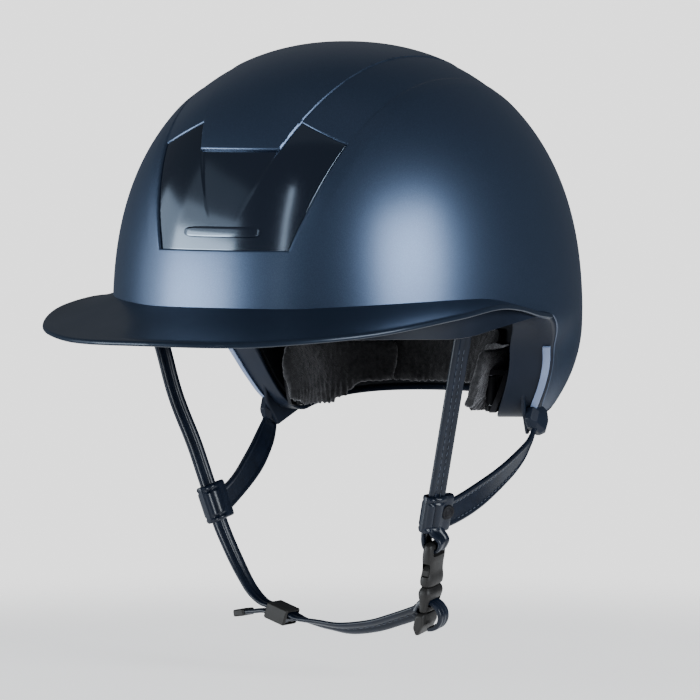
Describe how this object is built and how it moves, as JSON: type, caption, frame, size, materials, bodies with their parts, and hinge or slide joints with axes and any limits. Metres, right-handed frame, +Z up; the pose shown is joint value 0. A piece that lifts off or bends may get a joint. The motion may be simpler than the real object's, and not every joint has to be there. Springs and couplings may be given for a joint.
{
  "type": "riding helmet",
  "caption": "Hard riding helmet with a wide sun brim, padded foam liner, pivoting nape cradles and a leather chin harness closed by a side-release buckle.",
  "frame": {"origin": "on the head's axis, at the level where the shell is widest", "axes": "+Z up as worn, -Y towards the front and the brim, +X towards the wearer's left, the buckle's side"},
  "size_m": [0.2458, 0.3501, 0.3124],
  "materials": {
    "shell_navy": "satin metallic navy lacquer",
    "brim_navy": "dark navy lacquer, satin above",
    "panel_black": "high-gloss black",
    "trim_navy": "satin navy moulded rim",
    "trim_light": "light blue-grey piping",
    "foam_black": "fine moulded foam, dark navy coat",
    "fleece_black": "short black fleece",
    "leather_navy": "grained navy synthetic leather, light stitching",
    "plastic_dark": "fine-textured dark grey",
    "steel": "bright"
  },
  "bodies": {
    "helmet": {"outer_shell": "shell_navy", "brim": "brim_navy", "front_vent_panel": "panel_black", "front_badge": "panel_black", "rim_cover": "trim_navy", "ear_trim_left": "trim_light", "ear_trim_right": "trim_light", "eps_liner": "foam_black", "front_head_pad": "fleece_black", "nape_pad": "fleece_black", "side_pad_left": "fleece_black", "side_pad_right": "fleece_black", "crown_pad": "fleece_black", "front_strap_left": "leather_navy", "front_strap_right": "leather_navy", "rear_strap_left": "leather_navy", "rear_strap_right": "leather_navy", "chin_strap": "leather_navy", "chin_strap_tail": "leather_navy", "rear_vent_grille": "plastic_dark", "cradle_bracket_left": "plastic_dark", "cradle_bracket_right": "plastic_dark", "front_strap_anchor_left": "plastic_dark", "front_strap_anchor_right": "plastic_dark", "rear_strap_clip_left": "plastic_dark", "rear_strap_clip_right": "plastic_dark", "tail_tip": "plastic_dark", "buckle_socket": "plastic_dark", "cradle_pin_left": "steel", "cradle_pin_right": "steel"},
    "cradle_left": {"cradle_left": "plastic_dark", "cradle_pad_left": "fleece_black"},
    "cradle_right": {"cradle_right": "plastic_dark", "cradle_pad_right": "fleece_black"},
    "divider_left": {"divider_left": "leather_navy", "snap_stud_left": "plastic_dark"},
    "divider_right": {"divider_right": "leather_navy", "snap_stud_right": "plastic_dark"},
    "keeper": {"strap_keeper": "plastic_dark"},
    "buckle_tongue": {"buckle_tongue": "plastic_dark", "strap_adjuster": "plastic_dark", "chin_strap_coil": "leather_navy"},
    "prong_front": {"buckle_prong_front": "plastic_dark"},
    "prong_rear": {"buckle_prong_rear": "plastic_dark"}
  },
  "joints": [
    {"name": "cradle_left_hinge", "type": "hinge", "parent": "helmet", "child": "cradle_left", "pos_m": [0.05941, 0.05249, -0.037], "axis": [0, 0, 1], "range_deg": [0, 12], "stiffness_Nm_per_rad": 0.03},
    {"name": "cradle_right_hinge", "type": "hinge", "parent": "helmet", "child": "cradle_right", "pos_m": [-0.05941, 0.05249, -0.037], "axis": [0, 0, -1], "range_deg": [0, 12], "stiffness_Nm_per_rad": 0.03},
    {"name": "divider_left_slide", "type": "slide", "parent": "helmet", "child": "divider_left", "axis": [0.2623, -0.164, 0.9509], "range_m": [-0.002, 0.012], "deforming": ["rear_strap_left"]},
    {"name": "divider_right_slide", "type": "slide", "parent": "helmet", "child": "divider_right", "axis": [-0.2623, -0.164, 0.9509], "range_m": [-0.002, 0.012], "deforming": ["rear_strap_right"]},
    {"name": "keeper_slide", "type": "slide", "parent": "helmet", "child": "keeper", "axis": [0.945, 0, -0.327], "range_m": [-0.001, 0.004]},
    {"name": "buckle_slide", "type": "slide", "parent": "helmet", "child": "buckle_tongue", "axis": [-0.1549, 0.1129, -0.9815], "range_m": [0, 0.018], "deforming": ["chin_strap", "buckle_prong_front", "buckle_prong_rear"]},
    {"name": "prong_front_hinge", "type": "hinge", "parent": "buckle_tongue", "child": "prong_front", "pos_m": [0.06313, -0.0248, -0.13538], "axis": [-0.986, -0.0791, 0.1465], "range_deg": [0, 12], "stiffness_Nm_per_rad": 0.01},
    {"name": "prong_rear_hinge", "type": "hinge", "parent": "buckle_tongue", "child": "prong_rear", "pos_m": [0.06255, -0.01549, -0.13422], "axis": [0.986, 0.0791, -0.1465], "range_deg": [0, 12], "stiffness_Nm_per_rad": 0.01}
  ]
}
